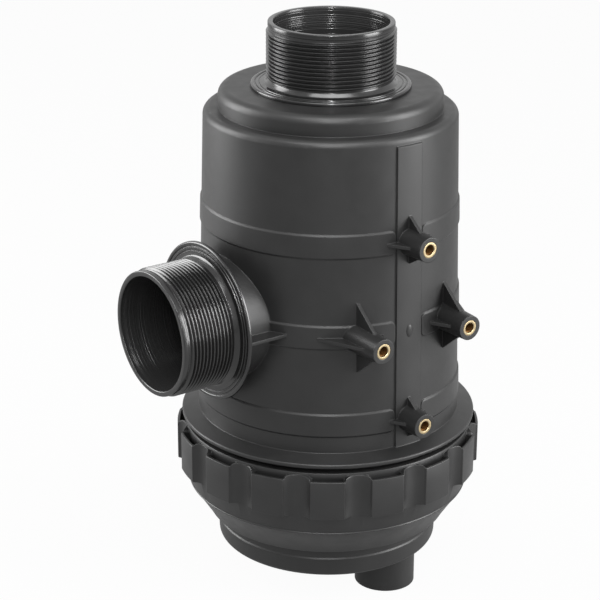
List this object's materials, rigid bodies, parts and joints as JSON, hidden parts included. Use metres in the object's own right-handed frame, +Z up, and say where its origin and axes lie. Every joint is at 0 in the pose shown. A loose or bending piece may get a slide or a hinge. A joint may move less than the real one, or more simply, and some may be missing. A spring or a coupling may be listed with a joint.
{
  "type": "suction filter",
  "caption": "Suction filter for a pump line, with threaded side inlet and top outlet, mesh cartridge, and a bowl held by a lobed ring nut.",
  "frame": {"origin": "middle of the diamond of four threaded mounting bosses, in the plane of the boss faces", "axes": "+Z up along the body's axis towards the outlet, -X towards the inlet, -Y out of the mounting bosses towards the bracket"},
  "size_m": [0.2167, 0.1859, 0.3437],
  "materials": {
    "body_plastic": "satin moulded polypropylene, near black",
    "port_plastic": "glossy black moulded plastic",
    "nut_plastic": "satin moulded polypropylene, near black",
    "bowl_plastic": "satin moulded polypropylene, near black",
    "brass": "turned brass",
    "seal_rubber": "black nitrile rubber",
    "slip_plastic": "natural acetal",
    "cap_plastic": "moulded polypropylene, black",
    "cage_plastic": "moulded polypropylene, black",
    "steel_mesh": "woven stainless steel mesh"
  },
  "bodies": {
    "housing": {"housing": "body_plastic", "outlet_nipple": "port_plastic", "inlet_nipple": "port_plastic", "insert_top": "brass", "insert_bottom": "brass", "insert_left": "brass", "insert_right": "brass"},
    "cartridge": {"cartridge_top_cap": "cap_plastic", "cartridge_top_seal": "seal_rubber", "cartridge_low_cap": "cap_plastic", "cartridge_low_seal": "seal_rubber", "cage_upper_half": "cage_plastic", "cage_lower_half": "cage_plastic", "cage_middle_ring": "cap_plastic", "mesh_sleeve_upper": "steel_mesh", "mesh_sleeve_lower": "steel_mesh"},
    "bowl": {"bowl": "bowl_plastic", "bowl_seal": "seal_rubber", "slip_ring": "slip_plastic"},
    "ring_nut": {"ring_nut": "nut_plastic"}
  },
  "joints": [
    {"name": "cartridge_draw", "type": "slide", "parent": "housing", "child": "cartridge", "axis": [0, 0, -1], "range_m": [0, 0.225]},
    {"name": "bowl_lower", "type": "slide", "parent": "cartridge", "child": "bowl", "axis": [0, 0, -1], "range_m": [0, 0.01801]},
    {"name": "nut_turn", "type": "hinge", "parent": "bowl", "child": "ring_nut", "pos_m": [0, 0.0942, -0.1], "axis": [0, 0, -1], "range_deg": [0, 1080]}
  ],
  "couplings": [
    {"joint": "bowl_lower", "follows": "nut_turn", "m_per_rad": 0.00095493}
  ]
}
